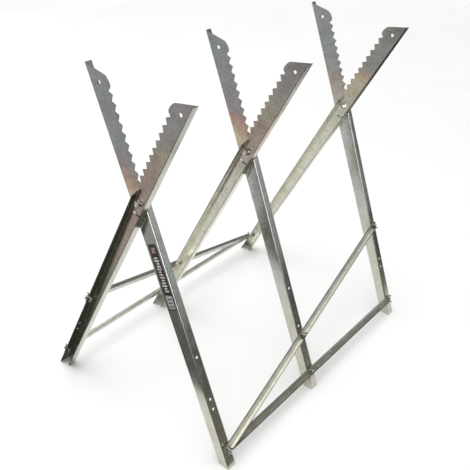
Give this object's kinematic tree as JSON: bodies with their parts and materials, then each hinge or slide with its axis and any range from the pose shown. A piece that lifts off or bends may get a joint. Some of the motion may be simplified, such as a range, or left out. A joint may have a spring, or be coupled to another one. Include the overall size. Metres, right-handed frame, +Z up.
{
  "type": "folding sawhorse",
  "caption": "Galvanised folding log sawhorse of crossed sheet-steel frames with toothed upper arms, hinged where they cross and tied by bolted braces",
  "frame": {"origin": "on the floor, under the middle of the whole sawhorse when it stands open", "axes": "+Z up, the row of crossed frames and the log's length run along Y with the label end at -Y, +X across the frames to the side where the labelled leg stands"},
  "size_m": [0.5234, 0.7794, 0.7797],
  "materials": {
    "galvanised_sheet": "bright galvanised sheet with uneven tints",
    "zinc_plated_fastener": "zinc plated",
    "label_film": null
  },
  "bodies": {
    "left_side": {"left_diagonal_brace": "galvanised_sheet", "left_high_bolt_front": "zinc_plated_fastener", "left_high_wing_nut_front": "zinc_plated_fastener", "left_leg_front": "galvanised_sheet", "left_leg_middle": "galvanised_sheet", "left_leg_rear": "galvanised_sheet", "left_low_bolt_front": "zinc_plated_fastener", "left_low_bolt_middle": "zinc_plated_fastener", "left_low_bolt_rear": "zinc_plated_fastener", "left_low_wing_nut_front": "zinc_plated_fastener", "left_low_wing_nut_middle": "zinc_plated_fastener", "left_low_wing_nut_rear": "zinc_plated_fastener", "left_lower_brace": "galvanised_sheet", "left_mid_bolt_middle": "zinc_plated_fastener", "left_mid_wing_nut_middle": "zinc_plated_fastener", "pivot_bolt_front": "zinc_plated_fastener", "pivot_bolt_middle": "zinc_plated_fastener", "pivot_bolt_rear": "zinc_plated_fastener", "pivot_head_washer_front": "zinc_plated_fastener", "pivot_head_washer_middle": "zinc_plated_fastener", "pivot_head_washer_rear": "zinc_plated_fastener", "pivot_nut_front": "zinc_plated_fastener", "pivot_nut_middle": "zinc_plated_fastener", "pivot_nut_rear": "zinc_plated_fastener", "pivot_nut_washer_front": "zinc_plated_fastener", "pivot_nut_washer_middle": "zinc_plated_fastener", "pivot_nut_washer_rear": "zinc_plated_fastener"},
    "right_side": {"label": "label_film", "right_diagonal_brace": "galvanised_sheet", "right_high_bolt_rear": "zinc_plated_fastener", "right_high_wing_nut_rear": "zinc_plated_fastener", "right_leg_front": "galvanised_sheet", "right_leg_middle": "galvanised_sheet", "right_leg_rear": "galvanised_sheet", "right_low_bolt_front": "zinc_plated_fastener", "right_low_bolt_middle": "zinc_plated_fastener", "right_low_bolt_rear": "zinc_plated_fastener", "right_low_wing_nut_front": "zinc_plated_fastener", "right_low_wing_nut_middle": "zinc_plated_fastener", "right_low_wing_nut_rear": "zinc_plated_fastener", "right_lower_brace": "galvanised_sheet", "right_mid_bolt_middle": "zinc_plated_fastener", "right_mid_wing_nut_middle": "zinc_plated_fastener"}
  },
  "joints": [
    {"name": "fold", "type": "hinge", "parent": "left_side", "child": "right_side", "pos_m": [0, 0, 0.55], "axis": [0, 1, 0], "range_deg": [0, 47]}
  ]
}
